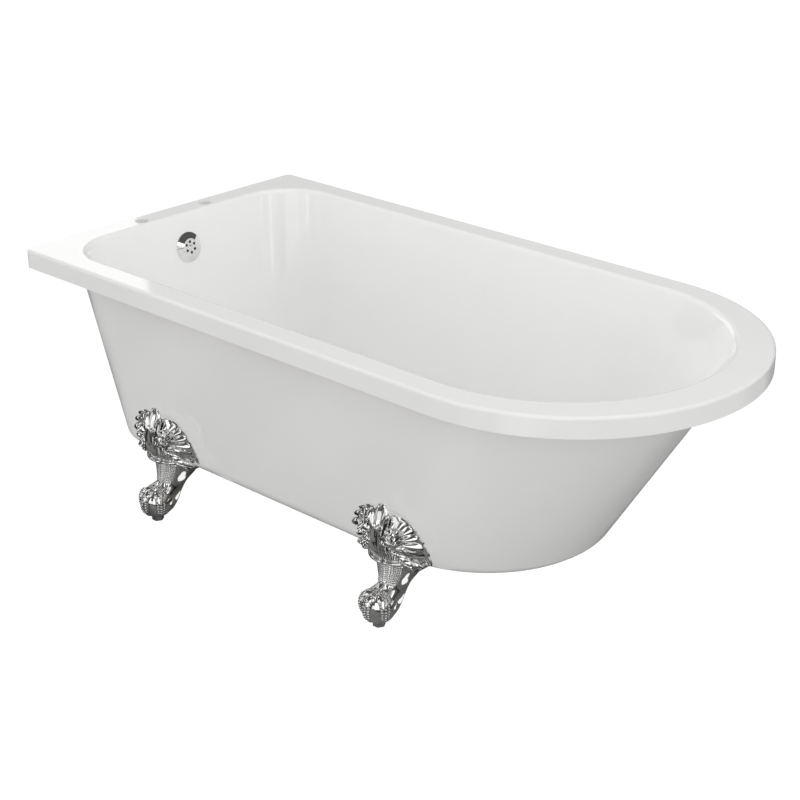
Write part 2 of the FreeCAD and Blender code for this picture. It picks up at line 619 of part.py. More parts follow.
def claw_foot():
    """The casting in its own frame: outward is -Y, base edge of the skirt on the X axis above the floor."""
    base, far = mm("base_height"), mm("bath_width")
    ball_radius, ball_out = mm("ball_radius"), mm("ball_out")
    head_corner = mm("level_across") / 2 / math.cos(math.radians(30))
    ball = Vector(0, -ball_out, mm("ball_flat") + math.sqrt(ball_radius ** 2 - head_corner ** 2))
    wing = leaf_plate(mm("wing_width") / 2, mm("wing_tall"))
    lean = Rotation(Vector(1, 0, 0), math.degrees(math.atan(SIDE_SLOPE)))
    wing.Placement = Placement(Vector(0, 0, base), lean)
    root = mm("wing_thick") / 2
    tongue = Part.makeBox(mm("tongue_wide"), root + mm("tongue_reach"), mm("tongue_thick"),
                          Vector(-mm("tongue_wide") / 2, -root, base - mm("tongue_thick")))
    toes = [toe(ball, ball_radius, mm("toe_radius"), swing) for swing in TOE_SWINGS]
    casting = leg(ball).multiFuse([collar(), wing, tongue, Part.makeSphere(ball_radius, ball)] + toes)
    under = Part.makeBox(far, far, mm("ball_flat"), Vector(-far / 2, -far / 2, 0))
    bore = Part.makeCylinder(mm("level_size") / 2 + mm("thread_play"), mm("ball_flat") + mm("level_long"),
                             Vector(0, -ball_out, 0))
    holes = [Part.makeCylinder(mm("bolt_size") / 2 + mm("hole_play"), base,
                               Vector(side * mm("bolt_pitch") / 2, mm("bolt_inward"), 0)) for side in (-1, 1)]
    casting = casting.cut(Part.makeCompound([bath_wedge(), under, bore] + holes))
    return max(casting.Solids, key=lambda solid: solid.Volume)


SIDE_SLOPE = (mm("base_side") - mm("skirt_side")) / (mm("rim_height") - mm("shell_wall") - mm("base_height"))
foot_shape = claw_foot()
for name, (station, end, side) in FEET.items():
    foot = shape_node("claw_foot_" + name, foot_shape)
    foot.Placement = Placement(Vector(), Rotation(Vector(0, 0, 1), 90 + 90 * side))
    place(foot, "%d * %s" % (end, station), "%d * %s" % (side, BASE_HALF))


# Fasteners
def hex_bolt(name, across, head, size, shank):
    """Hexagon head on the XY plane with its shank above; returns the joined object."""
    prism = doc.addObject("Part::Prism", name + "_head")
    prism.Polygon = 6
    bind(prism, "Circumradius", across + " / 2 / cos(30 deg)")
    bind(prism, "Height", head)
    rod = doc.addObject("Part::Cylinder", name + "_shank")
    bind(rod, "Radius", size + " / 2")
    bind(rod, "Height", "%s + %s" % (head, shank))
    joined = doc.addObject("Part::Fuse", name)
    joined.Base = prism
    joined.Tool = rod
    return joined


def bolt_stations():
    """Positions of the foot bolts on the floor plan."""
    half_long, half_pitch = mm("bath_length") / 2, mm("bolt_pitch") / 2
    across = mm("bath_width") / 2 - mm("base_side") - mm("bolt_inward")
    stations = (mm("foot_first") - half_long, half_long - mm("foot_last"))
    return [Vector(station + shift, side * across, 0)
            for station in stations for side in (-1, 1) for shift in (-half_pitch, half_pitch)]


def group(label, piece, height):
    """One node of equal pieces, one over each foot bolt station."""
    copies = [piece.translated(spot + Vector(0, 0, height)) for spot in bolt_stations()]
    return shape_node(label, Part.makeCompound(copies))


def tube(inner, outer, height):
    """A plain tube shape."""
    return Part.makeCylinder(outer, height).cut(Part.makeCylinder(inner, height))


tongue_under = mm("base_height") - mm("tongue_thick")
insert_long = mm("board_thick") - mm("insert_short")
bolt = hex_bolt("foot_bolt", "bolt_across", "bolt_head", "bolt_size",
                "washer_thick + tongue_thick + skirt_wall + board_thick - bolt_short")
doc.recompute()
group("foot_bolts", bolt.Shape, tongue_under - mm("washer_thick") - mm("bolt_head"))
washer_bore = mm("bolt_size") / 2 + mm("hole_play")
washer = tube(washer_bore, mm("washer_size") / 2, mm("washer_thick"))
group("foot_washers", washer, tongue_under - mm("washer_thick"))
insert = tube(mm("bolt_size") / 2 + mm("thread_play"), mm("insert_size") / 2, insert_long)
group("board_inserts", insert, lip_top)
for name, (station, end, side) in FEET.items():
    level = hex_bolt("levelling_bolt_" + name, "level_across", "ball_flat - level_gap", "level_size",
                     "level_gap + level_long - level_short")
    level.Label = "levelling_bolt_" + name
    place(level, "%d * %s" % (end, station), "%d * (%s + ball_out)" % (side, BASE_HALF))
    nodes.append(level)
doc.recompute()

# Overflow: pieces stand on the tap wall, Z out of the wall and X down it
WALL_BACK = "(shell_wall + flow_seat)"
ELBOW_BACK = "(%s + gasket_thick + flow_depth)" % WALL_BACK


def stand_on_tap_wall(item, offset):
    """Put a piece on the tap wall, its own origin lifted out of the wall by a formula."""
    place_on_tap_wall(item)
    tilt = "atan(%s)" % TAP_SLOPE
    bind(item, "Placement.Base.x",
         "deck_tap - bath_length / 2 + flow_drop * %s + (%s) * cos(%s)" % (TAP_SLOPE, offset, tilt))
    bind(item, "Placement.Base.z", "rim_height - flow_drop + (%s) * sin(%s)" % (offset, tilt))


face = turned("overflow_faceplate", [
    ("screw_radius + thread_play", "flow_rise - flow_skin"), ("screw_radius + thread_play", "flow_rise"),
    ("flow_hub", "flow_rise"), ("flow_face", "flow_skin"), ("flow_face", "0"),
    ("flow_face - 2 * flow_skin", "0"), ("flow_hub - flow_skin", "flow_rise - flow_skin")])
hub_hole = sketch_on(face, "hub_hole", "XY_Plane", "flow_rise")
add_circle(hub_hole, "flow_hole", "flow_ring")
hub_cut = pocket(face, "hub_hole_cut", hub_hole, "2 * flow_skin")
hub_holes = face.newObject("PartDesign::PolarPattern", "hub_holes")
hub_holes.Originals = [hub_cut]
hub_holes.Axis = (hub_hole, ["N_Axis"])
hub_holes.Angle = 360
hub_holes.Occurrences = 6
face.Tip = hub_holes
stand_on_tap_wall(face, "0")

SCREW_LONG = "(flow_rise + %s + gasket_thick + screw_reach)" % WALL_BACK
screw = turned("overflow_screw", [
    ("0", "0"), ("screw_radius", "0"), ("screw_radius", SCREW_LONG), ("screw_head", SCREW_LONG),
    ("screw_head", SCREW_LONG + " + screw_dome"), ("0", SCREW_LONG + " + screw_dome")])
fillet(screw, "screw_head_edge", "screw_round", level_edges(screw.Tip.Shape.BoundBox.ZMax))
stand_on_tap_wall(screw, "flow_rise - " + SCREW_LONG)
gasket = ring("overflow_gasket", "flow_cut", "flow_flange", "gasket_thick")
stand_on_tap_wall(gasket, "-%s - gasket_thick" % WALL_BACK)

elbow = turned("overflow_elbow", [
    ("0", "0"), ("flow_cut", "0"), ("flow_cut", "flow_depth - elbow_wall"),
    ("flow_flange", "flow_depth - elbow_wall"), ("flow_flange", "flow_depth"),
    ("flow_cut - elbow_wall", "flow_depth"), ("flow_cut - elbow_wall", "elbow_wall"),
    ("elbow_boss", "elbow_wall"), ("elbow_boss", "flow_depth - boss_short"),
    ("screw_radius + thread_play", "flow_depth - boss_short"),
    ("screw_radius + thread_play", "boss_floor"), ("0", "boss_floor")])


def add_socket(body, name, level, height, outward):
    """A pipe socket out of the side of a turned body, along +X or -X, with its through bore."""
    start = sketch_on(body, name + "_start", "YZ_Plane", "%s(%s - socket_wall)" % (outward, level))
    add_circle(start, "pipe_radius + socket_wall", y=height)
    wall = pad(body, name, start, "socket_wall + pipe_socket")
    end = "%s(%s + pipe_socket)" % (outward, level)
    wide = sketch_on(body, name + "_mouth", "YZ_Plane", end)
    add_circle(wide, "pipe_radius + thread_play", y=height)
    mouth = pocket(body, name + "_mouth_cut", wide, "pipe_socket")
    thin = sketch_on(body, name + "_bore", "YZ_Plane", end)
    add_circle(thin, "pipe_radius - pipe_wall", y=height)
    bore = pocket(body, name + "_bore_cut", thin, "2 * pipe_socket")
    for feature in (wall, mouth, bore):
        feature.Reversed = outward == "-"
    doc.recompute()


add_socket(elbow, "elbow_socket", "flow_cut", "flow_depth / 2", "")
stand_on_tap_wall(elbow, "-" + ELBOW_BACK)


# Overflow pipe: down between the shells, under the basin and into the waste
def bent_path(points, radius):
    """A wire through corner points with equal bends."""
    edges, start = [], points[0]
    for before, corner, after in zip(points, points[1:], points[2:]):
        arrive = (corner - before).normalize()
        leave = (after - corner).normalize()
        turn = arrive.getAngle(leave)
        setback = radius * math.tan(turn / 2)
        first, last = corner - arrive * setback, corner + leave * setback
        inward = (leave - arrive).normalize()
        middle = corner + inward * (radius / math.cos(turn / 2) - radius)
        edges.append(Part.LineSegment(start, first).toShape())
        edges.append(Part.Arc(first, middle, last).toShape())
        start = last
    edges.append(Part.LineSegment(start, points[-1]).toShape())
    return Part.Wire(edges)


def sweep_disc(path, radius):
    """A solid round bar along a wire."""
    start = path.Edges[0]
    first = start.Vertexes[0].Point
    disc = Part.Wire([Part.Circle(first, start.tangentAt(start.FirstParameter), radius).toShape()])
    return path.makePipeShell([disc], True, False)


tap_edge = -mm("bath_length") / 2
slope = mm("basin_tap_lean") / (mm("rim_height") - basin_floor)
tilt = math.atan(slope)
down_wall = Vector(math.sin(tilt), 0, -math.cos(tilt))
out_wall = Vector(math.cos(tilt), 0, math.sin(tilt))
flow_level = mm("rim_height") - mm("flow_drop")
flow_centre = Vector(tap_edge + mm("deck_tap") + mm("flow_drop") * slope, 0, flow_level)
elbow_middle = mm("shell_wall") + mm("flow_seat") + mm("gasket_thick") + mm("flow_depth") / 2
pipe_top = flow_centre - out_wall * elbow_middle + down_wall * (mm("flow_cut") + mm("pipe_gap"))
wall_run = (pipe_top.z - basin_floor - mm("pipe_knee")) / math.cos(tilt)
leave_wall = pipe_top + down_wall * wall_run
under_basin = Vector(tap_edge + mm("base_tap") + mm("pipe_inward"), 0, mm("waste_inlet"))
waste_x = tap_edge + mm("waste_inset")
pipe_end = Vector(waste_x - mm("waste_barrel") - mm("pipe_gap"), 0, mm("waste_inlet"))
pipe_path = bent_path([pipe_top, leave_wall, under_basin, pipe_end], mm("pipe_bend"))
pipe_bore = sweep_disc(pipe_path, mm("pipe_radius") - mm("pipe_wall"))
shape_node("overflow_pipe", sweep_disc(pipe_path, mm("pipe_radius")).cut(pipe_bore))


def pipe_nut(label):
    """Nut round a pipe and over its socket, narrow end first."""
    return turned(label, [
        ("pipe_radius + thread_play", "0"), ("pipe_radius + socket_wall + nut_wall", "0"),
        ("pipe_radius + socket_wall + nut_wall", "nut_long"),
        ("pipe_radius + socket_wall + thread_play", "nut_long"),
        ("pipe_radius + socket_wall + thread_play", "nut_long - nut_over"),
        ("pipe_radius + thread_play", "nut_long - nut_over")])


upper_nut = pipe_nut("overflow_nut_upper")
upper_nut.Placement = Placement(Vector(), Rotation(Vector(0, 1, 0), -10))
bind(upper_nut, "Placement.Rotation.Angle", "-atan(%s)" % TAP_SLOPE)
lower_nut = pipe_nut("overflow_nut_lower")
lower_nut.Placement = Placement(Vector(), Rotation(Vector(0, 1, 0), 90))
NUT_CLEAR = "(nut_long - nut_over)"
place(lower_nut, "%s - waste_barrel - pipe_socket - %s" % (WASTE_X, NUT_CLEAR), "0", "waste_inlet")
ALONG = "(flow_cut + pipe_socket + %s)" % NUT_CLEAR
ACROSS = "(%s - flow_depth / 2)" % ELBOW_BACK
TILT = "atan(%s)" % TAP_SLOPE
nut_x = "deck_tap - bath_length / 2 + flow_drop * %s + %s * sin(%s) - %s * cos(%s)"
nut_z = "rim_height - flow_drop - %s * cos(%s) - %s * sin(%s)"
place(upper_nut, nut_x % (TAP_SLOPE, ALONG, TILT, ACROSS, TILT), "0", nut_z % (ALONG, TILT, ACROSS, TILT))

# Waste: flange through the bath floor, body below, click plug above
FLANGE_UNDER = "(%s + gasket_thick)" % FLOOR
TUBE_END = "(%s - waste_tube_long)" % FLANGE_UNDER
TAIL_END = "(waste_shoulder - tail_long)"
flange = turned("waste_flange", [
    ("waste_bore", "0"), ("waste_tube", "0"), ("waste_tube", "waste_tube_long"),
    ("waste_face", "waste_tube_long"), ("waste_face", "waste_tube_long + waste_edge"),
    ("waste_face - waste_lip", "waste_tube_long + waste_lip"),
    ("waste_bore", "waste_tube_long + waste_lip")])
bar = sketch_on(flange, "spider_bar", "XY_Plane")
bar_half = "waste_spider / 2"
bar_reach = "waste_bore + thread_play"
add_profile(bar, [(bar_reach, bar_half), ("-(%s)" % bar_reach, bar_half),
                  ("-(%s)" % bar_reach, "-(%s)" % bar_half), (bar_reach, "-(%s)" % bar_half)])
pad(flange, "spider_bar_pad", bar, "waste_spider")
boss = sketch_on(flange, "spider_boss", "XY_Plane")
add_circle(boss, "cartridge_radius + cartridge_collar")
pad(flange, "spider_boss_pad", boss, "waste_spider")
seat = sketch_on(flange, "spider_hole", "XY_Plane", "waste_spider")
add_circle(seat, "cartridge_radius + thread_play")
pocket(flange, "spider_hole_cut", seat, "waste_spider")
place(flange, WASTE_X, "0", TUBE_END)
top_gasket = ring("waste_top_gasket", "waste_tube + thread_play", "waste_face - waste_lip", "gasket_thick")
place(top_gasket, WASTE_X, "0", FLOOR)
low_gasket = ring("waste_bottom_gasket", "waste_cut", "waste_collar", "gasket_thick")
place(low_gasket, WASTE_X, "0", FLOOR_UNDER + " - gasket_thick")

BODY_TOP = "(%s - gasket_thick - %s)" % (FLOOR_UNDER, TAIL_END)
STEP = "(%s - plug_gap - %s)" % (TUBE_END, TAIL_END)
waste = turned("waste_body", [
    ("waste_bore", "0"), ("tail_radius", "0"), ("tail_radius", "tail_long"),
    ("waste_barrel", "tail_long"), ("waste_barrel", BODY_TOP + " - waste_collar_thick"),
    ("waste_collar", BODY_TOP + " - waste_collar_thick"), ("waste_collar", BODY_TOP),
    ("waste_tube + thread_play", BODY_TOP), ("waste_tube + thread_play", STEP), ("waste_bore", STEP)])
add_socket(waste, "waste_socket", "waste_barrel", "waste_inlet - " + TAIL_END, "-")
place(waste, WASTE_X, "0", TAIL_END)

# Click plug: cartridge fixed in the spider, spring under the sliding stem, cap and seal on top
SPIDER_TOP = "(%s + waste_spider)" % TUBE_END
CARTRIDGE_LOW = "(%s - cartridge_drop)" % SPIDER_TOP
bore_radius = "stem_radius + stem_play"
cartridge = turned("plug_cartridge", [
    ("0", "0"), ("cartridge_radius", "0"), ("cartridge_radius", "cartridge_drop"),
    ("cartridge_radius + cartridge_collar", "cartridge_drop"),
    ("cartridge_radius + cartridge_collar", "cartridge_drop + cartridge_collar"),
    ("cartridge_radius", "cartridge_drop + cartridge_collar"), ("cartridge_radius", "cartridge_long"),
    (bore_radius, "cartridge_long"), (bore_radius, "cartridge_floor"), ("0", "cartridge_floor")])
place(cartridge, WASTE_X, "0", CARTRIDGE_LOW)
SEAL_SHUT = "(%s + waste_lip + plug_gap)" % FLANGE_UNDER
CAP_UNDER = "(%s + plug_travel + seal_thick)" % SEAL_SHUT
CARTRIDGE_TOP = "(%s + cartridge_long)" % CARTRIDGE_LOW
STEM_LONG = "(%s - %s + stem_hold)" % (CAP_UNDER, CARTRIDGE_TOP)
stem = turned("plug_stem", [("0", "0"), ("stem_radius", "0"), ("stem_radius", STEM_LONG), ("0", STEM_LONG)])
place(stem, WASTE_X, "0", "%s - %s" % (CAP_UNDER, STEM_LONG))
seal = ring("plug_seal", "seal_bore", "seal_radius", "seal_thick")
place(seal, WASTE_X, "0", CAP_UNDER + " - seal_thick")
cap = turned("plug_cap", [("0", "0"), ("cap_radius", "0"), ("cap_radius", "cap_thick"), ("0", "cap_thick")])
fillet(cap, "cap_edge", "cap_round", level_edges(mm("cap_thick")))
place(cap, WASTE_X, "0", CAP_UNDER)
doc.recompute()


def plug_spring():
    """Compression spring between the cartridge's floor and the raised stem."""
    wire = mm("spring_wire")
    low = cartridge.Placement.Base.z + mm("cartridge_floor") + wire / 2 + mm("thread_play")
    high = stem.Placement.Base.z - wire / 2 - mm("thread_play")
    radius = mm("stem_radius") - wire
    helix = Part.makeHelix((high - low) / mm("spring_turns"), high - low, radius)
    section = Part.Wire([Part.Circle(Vector(radius, 0, 0), Vector(0, 1, 0), wire / 2).toShape()])
    coil = Part.Wire(helix).makePipeShell([section], True, True)
    return coil.translated(Vector(waste_x, 0, low))


shape_node("plug_spring", plug_spring())
doc.recompute()

# Checks and export
for item in doc.Objects:
    if "Invalid" in item.State or "Error" in item.State:
        raise RuntimeError("%s did not build: %s" % (item.Label, item.getStatusString()))
os.makedirs("parts", exist_ok=True)
for item in nodes:
    if item.Shape.isNull() or not item.Shape.isValid():
        raise RuntimeError("%s has no valid shape" % item.Label)
    item.Shape.exportStep("parts/%s.step" % item.Label)
print("wrote", len(nodes), "parts")
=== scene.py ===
"""Back-to-wall bath on four chrome claw feet: materials, cast feet, tap linings, plug coil and studio."""
import math

import bmesh
import bpy
import numpy as np
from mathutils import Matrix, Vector


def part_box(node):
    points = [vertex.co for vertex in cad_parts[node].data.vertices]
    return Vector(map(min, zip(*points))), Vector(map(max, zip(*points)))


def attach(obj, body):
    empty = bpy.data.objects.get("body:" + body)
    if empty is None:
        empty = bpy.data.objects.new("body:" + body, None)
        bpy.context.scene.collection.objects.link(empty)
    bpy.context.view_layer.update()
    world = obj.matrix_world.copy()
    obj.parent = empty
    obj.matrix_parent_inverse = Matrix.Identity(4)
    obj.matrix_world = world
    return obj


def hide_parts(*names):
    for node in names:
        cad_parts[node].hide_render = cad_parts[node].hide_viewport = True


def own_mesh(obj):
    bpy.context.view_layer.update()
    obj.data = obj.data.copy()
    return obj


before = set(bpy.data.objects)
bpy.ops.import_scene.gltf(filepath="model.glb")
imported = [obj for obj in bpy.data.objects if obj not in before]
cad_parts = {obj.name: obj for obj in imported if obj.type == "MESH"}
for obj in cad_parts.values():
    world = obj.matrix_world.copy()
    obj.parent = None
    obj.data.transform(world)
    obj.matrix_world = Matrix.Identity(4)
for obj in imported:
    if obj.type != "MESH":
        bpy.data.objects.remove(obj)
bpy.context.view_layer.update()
MM = 0.001
SHARP_EDGE = math.radians(38)


# Points, sections and skins, all in millimetres
def bezier(points, count):
    """Points along the Bezier curve of some control points."""
    points = np.asarray(points, float)
    share = np.linspace(0, 1, count)[:, None]
    order = len(points) - 1
    weights = [math.comb(order, i) * share ** i * (1 - share) ** (order - i) for i in range(order + 1)]
    return sum(weight * point for weight, point in zip(weights, points))


def through(points, count):
    """A smooth run of rows through the given rows."""
    points = np.asarray(points, float)
    padded = np.vstack([2 * points[0] - points[1], points, 2 * points[-1] - points[-2]])
    where = np.linspace(0, len(points) - 1, count)
    index = np.minimum(where.astype(int), len(points) - 2)
    t = (where - index)[:, None]
    before, start, end, after = (padded[index + step] for step in range(4))
    slope = end - before
    bend = 2 * before - 5 * start + 4 * end - after
    twist = 3 * start - before - 3 * end + after
    return 0.5 * (2 * start + slope * t + bend * t ** 2 + twist * t ** 3)


def unit(vectors):
    """Vectors of length one."""
    return vectors / np.linalg.norm(vectors, axis=-1, keepdims=True)


def turned(start, end, degrees):
    """A direction turned from one direction towards another that is square to it."""
    angle = np.radians(degrees)
    return np.cos(angle) * start + np.sin(angle) * end


def skin(rows, wrap=True, capped=True):
    """Quads between rows of points; wrapped rows make a tube, and its ends are closed."""
    rows = np.asarray(rows, float)
    count, across = rows.shape[:2]
    faces = []
    for i in range(count - 1):
        for j in range(across if wrap else across - 1):
            k = (j + 1) % across
            faces.append((i * across + j, i * across + k, (i + 1) * across + k, (i + 1) * across + j))
    if capped:
        faces.append(tuple(reversed(range(across))))
        faces.append(tuple(range((count - 1) * across, count * across)))
    return rows.reshape(-1, 3), faces


def sweep(path, section, widths, heights, facing):
    """A section carried along a path, its height turned towards the facing direction."""
    path = np.asarray(path, float)
    along = unit(np.gradient(path, axis=0))
    side = unit(np.cross(along, np.broadcast_to(np.asarray(facing, float), path.shape)))
    up = np.cross(side, along)
    wide = np.broadcast_to(widths, len(path))[:, None, None] * side[:, None, :]
    high = np.broadcast_to(heights, len(path))[:, None, None] * up[:, None, :]
    return skin(path[:, None, :] + section[None, :, :1] * wide + section[None, :, 1:] * high)


def ring(count, power=2.0):
    """A round section of unit half-width; a power above 2 squares it off."""
    turn = np.linspace(0, 2 * math.pi, count, endpoint=False)
    wave = np.column_stack([np.cos(turn), np.sin(turn)])
    return np.sign(wave) * np.abs(wave) ** (2 / power)


def leaf_section(groove):
    """A leaf's section: rounded on top with a groove along its middle, flatter underneath."""
    groove_width = 0.34
    underside = 0.4
    section = ring(24)
    top = section[:, 1] > 0
    section[top, 1] *= 1 - groove * np.exp(-(section[top, 0] / groove_width) ** 2)
    section[~top, 1] *= underside
    return section


ROUND = ring(12)
FLUTED = leaf_section(0.75)
RIDGED = leaf_section(-0.35)


def tube(path, radii):
    """A round tube along a path."""
    along = unit(np.gradient(np.asarray(path, float), axis=0))
    helper = (0, 0, 1) if abs(along[len(along) // 2][2]) < 0.8 else (0, 1, 0)
    return sweep(path, ROUND, radii, radii, helper)


def at_height(outline, height):
    """A flat outline lifted to a height."""
    return np.column_stack([outline, np.full(len(outline), height)])


def sphere(centre, radius, rises, around):
    """A ball from circles at some angles up from level, closed flat at its ends."""
    circle = ring(around)
    return skin([at_height(circle * math.cos(rise), math.sin(rise)) * radius + centre for rise in rises])


def bead(centre, radius):
    """A small ball."""
    return sphere(centre, radius, np.linspace(-0.5 * math.pi, 0.5 * math.pi, 7)[1:-1], 8)


def mirrored(piece):
    """The same piece on the other side of the middle plane."""
    points, faces = piece
    return points * (-1, 1, 1), [face[::-1] for face in faces]


def mesh_from(name, pieces, material):
    """One smooth-shaded mesh in metres from pieces in millimetres."""
    points, faces = [], []
    for piece_points, piece_faces in pieces:
        start = sum(len(block) for block in points)
        points.append(piece_points)
        faces.extend(tuple(start + index for index in face) for face in piece_faces)
    mesh = bpy.data.meshes.new(name)
    mesh.from_pydata(np.vstack(points) * MM, [], faces)
    outward = bmesh.new()
    outward.from_mesh(mesh)
    bmesh.ops.recalc_face_normals(outward, faces=outward.faces)
    outward.to_mesh(mesh)
    outward.free()
    mesh.shade_smooth()
    mesh.set_sharp_from_angle(angle=SHARP_EDGE)
    mesh.materials.append(material)
    return mesh


def placed(name, shown):
    """A new object in the scene for a mesh, a light or a camera."""
    thing = bpy.data.objects.new(name, shown)
    bpy.context.scene.collection.objects.link(thing)
    return thing


# Materials; most of a noise's values lie between its low and its high
NOISE_LOW = 0.3
NOISE_HIGH = 0.7


def shader(name):
    """A new material with its node tree and its main shader."""
    made = bpy.data.materials.new(name)
    made.use_nodes = True
    tree = made.node_tree
    return made, tree, tree.nodes["Principled BSDF"]


def add(tree, kind, **settings):
    """A node with its input sockets or its properties set by name."""
    node = tree.nodes.new(kind)
    for key, value in settings.items():
        socket = node.inputs.get(key.replace("_", " ").title())
        if socket is not None:
            socket.default_value = value
        else:
            setattr(node, key, value)
    return node


def object_space(tree, stretch=(1, 1, 1)):
    """Object coordinates, stretched."""
    spot = add(tree, "ShaderNodeTexCoord")
    place = add(tree, "ShaderNodeMapping", scale=stretch)
    tree.links.new(spot.outputs["Object"], place.inputs["Vector"])
    return place.outputs["Vector"]


def noise(tree, where, scale):
    """Noise over the surface."""
    node = add(tree, "ShaderNodeTexNoise", scale=scale, detail=5.0)
    tree.links.new(where, node.inputs["Vector"])
    return node.outputs["Fac"]


def shades(tree, value, stops):
    """Colours along a value from 0 to 1."""
    node = add(tree, "ShaderNodeValToRGB")
    elements = node.color_ramp.elements
    while len(elements) < len(stops):
        elements.new(0.5)
    for element, (position, colour) in zip(elements, stops):
        element.position = position
        element.color = (*colour, 1)
    tree.links.new(value, node.inputs["Fac"])
    return node.outputs["Color"]


def spread(tree, value, low, high):
    """A noise value spread over a range."""
    node = add(tree, "ShaderNodeMapRange", from_min=NOISE_LOW, from_max=NOISE_HIGH, to_min=low, to_max=high)
    tree.links.new(value, node.inputs["Value"])
    return node.outputs["Result"]


def relief(tree, bsdf, height, strength, distance):
    """Bump from a height."""
    node = add(tree, "ShaderNodeBump", strength=strength, distance=distance)
    tree.links.new(height, node.inputs["Height"])
    tree.links.new(node.outputs["Normal"], bsdf.inputs["Normal"])


def finish_of(name, dark, light, scale, rough, bump, metal=0.0, ior=1.5):
    """A material whose colour, roughness and relief follow coarse, finer and fine noise in object space."""
    made, tree, bsdf = shader(name)
    bsdf.inputs["Metallic"].default_value = metal
    bsdf.inputs["IOR"].default_value = ior
    where = object_space(tree)
    colour = shades(tree, noise(tree, where, scale), ((NOISE_LOW, dark), (NOISE_HIGH, light)))
    tree.links.new(colour, bsdf.inputs["Base Color"])
    tree.links.new(spread(tree, noise(tree, where, scale * 3), *rough), bsdf.inputs["Roughness"])
    relief(tree, bsdf, noise(tree, where, scale * 9), strength=bump, distance=0.0006)
    return made


def timber():
    """Planed softwood with growth rings along its length."""
    made, tree, bsdf = shader("timber")
    rings = add(tree, "ShaderNodeTexWave", scale=2.2, distortion=5.0, detail=3.0, bands_direction="Y")
    tree.links.new(object_space(tree, (1.2, 14, 14)), rings.inputs["Vector"])
    stops = ((0.0, (0.50, 0.32, 0.17)), (0.55, (0.62, 0.43, 0.25)), (1.0, (0.70, 0.52, 0.33)))
    tree.links.new(shades(tree, rings.outputs["Fac"], stops), bsdf.inputs["Base Color"])
    tree.links.new(spread(tree, rings.outputs["Fac"], low=0.5, high=0.68), bsdf.inputs["Roughness"])
    relief(tree, bsdf, rings.outputs["Fac"], strength=0.25, distance=0.0008)
    return made


def chipboard():
    """Pressed board with flat chips."""
    made, tree, bsdf = shader("board")
    chips = add(tree, "ShaderNodeTexVoronoi", scale=160.0)
    tree.links.new(object_space(tree, (1, 2.2, 1.4)), chips.inputs["Vector"])
    level = add(tree, "ShaderNodeSeparateColor")
    tree.links.new(chips.outputs["Color"], level.inputs["Color"])
    stops = ((0.0, (0.36, 0.24, 0.13)), (0.5, (0.50, 0.36, 0.21)), (1.0, (0.62, 0.48, 0.30)))
    tree.links.new(shades(tree, level.outputs["Red"], stops), bsdf.inputs["Base Color"])
    tree.links.new(spread(tree, level.outputs["Green"], low=0.6, high=0.78), bsdf.inputs["Roughness"])
    relief(tree, bsdf, chips.outputs["Distance"], strength=0.3, distance=0.0008)
    return made


MATERIALS = {
    "acrylic": finish_of("acrylic", dark=(0.94, 0.94, 0.93), light=(0.955, 0.955, 0.945), scale=5.0,
                         rough=(0.045, 0.075), bump=0.02, ior=1.49),
    "chrome": finish_of("chrome", dark=(0.84, 0.84, 0.83), light=(0.90, 0.90, 0.89), scale=45.0,
                        rough=(0.05, 0.10), bump=0.04, metal=1.0),
    "steel": finish_of("steel", dark=(0.56, 0.56, 0.56), light=(0.68, 0.68, 0.68), scale=60.0,
                       rough=(0.28, 0.42), bump=0.2, metal=1.0),
    "brass": finish_of("brass", dark=(0.72, 0.56, 0.27), light=(0.80, 0.64, 0.34), scale=60.0,
                       rough=(0.25, 0.40), bump=0.2, metal=1.0),
    "rubber": finish_of("rubber", dark=(0.055, 0.055, 0.055), light=(0.085, 0.085, 0.083), scale=90.0,
                        rough=(0.55, 0.72), bump=0.3),
    "plastic": finish_of("plastic", dark=(0.80, 0.80, 0.79), light=(0.86, 0.86, 0.85), scale=40.0,
                         rough=(0.32, 0.45), bump=0.12, ior=1.53),
    "board": chipboard(),
    "timber": timber(),
}
FEET = ("front_tap", "front_round", "back_tap", "back_round")
LEVELLING_BOLTS = ["levelling_bolt_" + foot for foot in FEET]
NODES = {
    "acrylic": ["inner_shell", "outer_skirt"],
    "board": ["base_board"],
    "timber": ["rim_batten_front", "rim_batten_back"],
    "chrome": ["overflow_faceplate", "overflow_screw", "waste_flange", "plug_cap"],
    "steel": ["foot_bolts", "foot_washers", "plug_spring", "plug_stem"] + LEVELLING_BOLTS,
    "brass": ["board_inserts"],
    "rubber": ["overflow_gasket", "waste_top_gasket", "waste_bottom_gasket", "plug_seal"],
    "plastic": ["overflow_elbow", "overflow_pipe", "overflow_nut_upper", "overflow_nut_lower",
                "waste_body", "plug_cartridge"],
}
for slot, names in NODES.items():
    for name in names:
        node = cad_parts[name]
        if not node.material_slots:
            node.data.materials.append(MATERIALS[slot])
        for holder in node.material_slots:
            holder.material = MATERIALS[slot]


# Claw foot, in its own frame: x sideways, u outward from the base edge of the skirt, z up from the floor
SIDEWAYS = np.array([1.0, 0.0, 0.0])
OUTWARD = np.array([0.0, 1.0, 0.0])
UPWARD = np.array([0.0, 0.0, 1.0])
# Height of the skirt's base edge, how far its side leans out, and the gap that the casting keeps from it
BASE_EDGE = 111
SIDE_SLOPE = 0.1857
SKIRT_GAP = 0.4


def wall_at(height):
    """How far out the skirt's side stands at a height."""
    return SIDE_SLOPE * np.maximum(np.asarray(height, float) - BASE_EDGE, 0)


